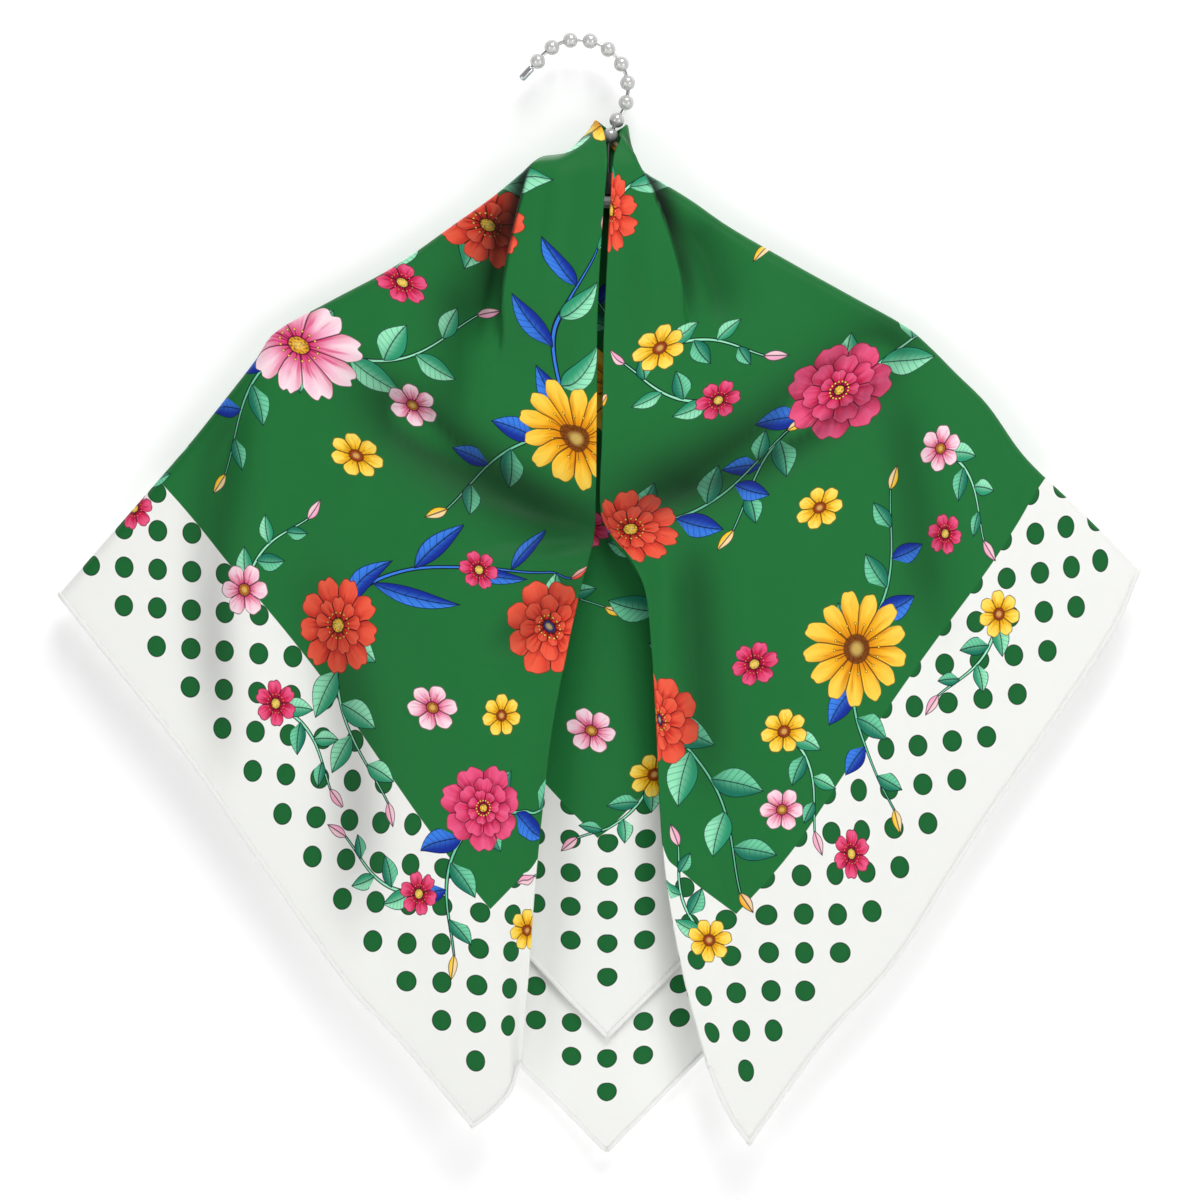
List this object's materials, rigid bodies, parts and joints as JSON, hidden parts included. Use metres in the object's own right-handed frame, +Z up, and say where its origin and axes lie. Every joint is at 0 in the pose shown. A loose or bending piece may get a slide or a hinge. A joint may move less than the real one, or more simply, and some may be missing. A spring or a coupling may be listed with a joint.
{
  "type": "silk square scarf on hanger",
  "caption": "Square silk scarf with a dotted border, folded just off its diagonal and draped round the neck of a beaded hanger, its two ends hanging in front.",
  "frame": {"origin": "top of the inside of the hook, where it rests on a rail", "axes": "+X to the right seen from the front, +Z up, -Y towards the front"},
  "size_m": [0.6607, 0.0388, 0.6846],
  "materials": {
    "silk": "printed silk twill, soft sheen",
    "hem": "rolled silk hem",
    "pearl": "pearl gloss",
    "wire": "plated wire",
    "cap": "polished"
  },
  "bodies": {
    "root": {"front_left": "silk", "front_right": "silk", "back": "silk", "inner_front_left": "silk", "inner_front_right": "silk", "inner_back": "silk", "hem_left": "hem", "hem_right": "hem", "hem_tip_left": "hem", "hem_tip_right": "hem", "hem_back": "hem", "hook_wire": "wire", "neck_boss": "wire", "hook_cap": "cap", "hanger_arms": "pearl", "pearl_01": "pearl", "pearl_02": "pearl", "pearl_03": "pearl", "pearl_04": "pearl", "pearl_05": "pearl", "pearl_06": "pearl", "pearl_07": "pearl", "pearl_08": "pearl", "pearl_09": "pearl", "pearl_10": "pearl"}
  },
  "joints": []
}
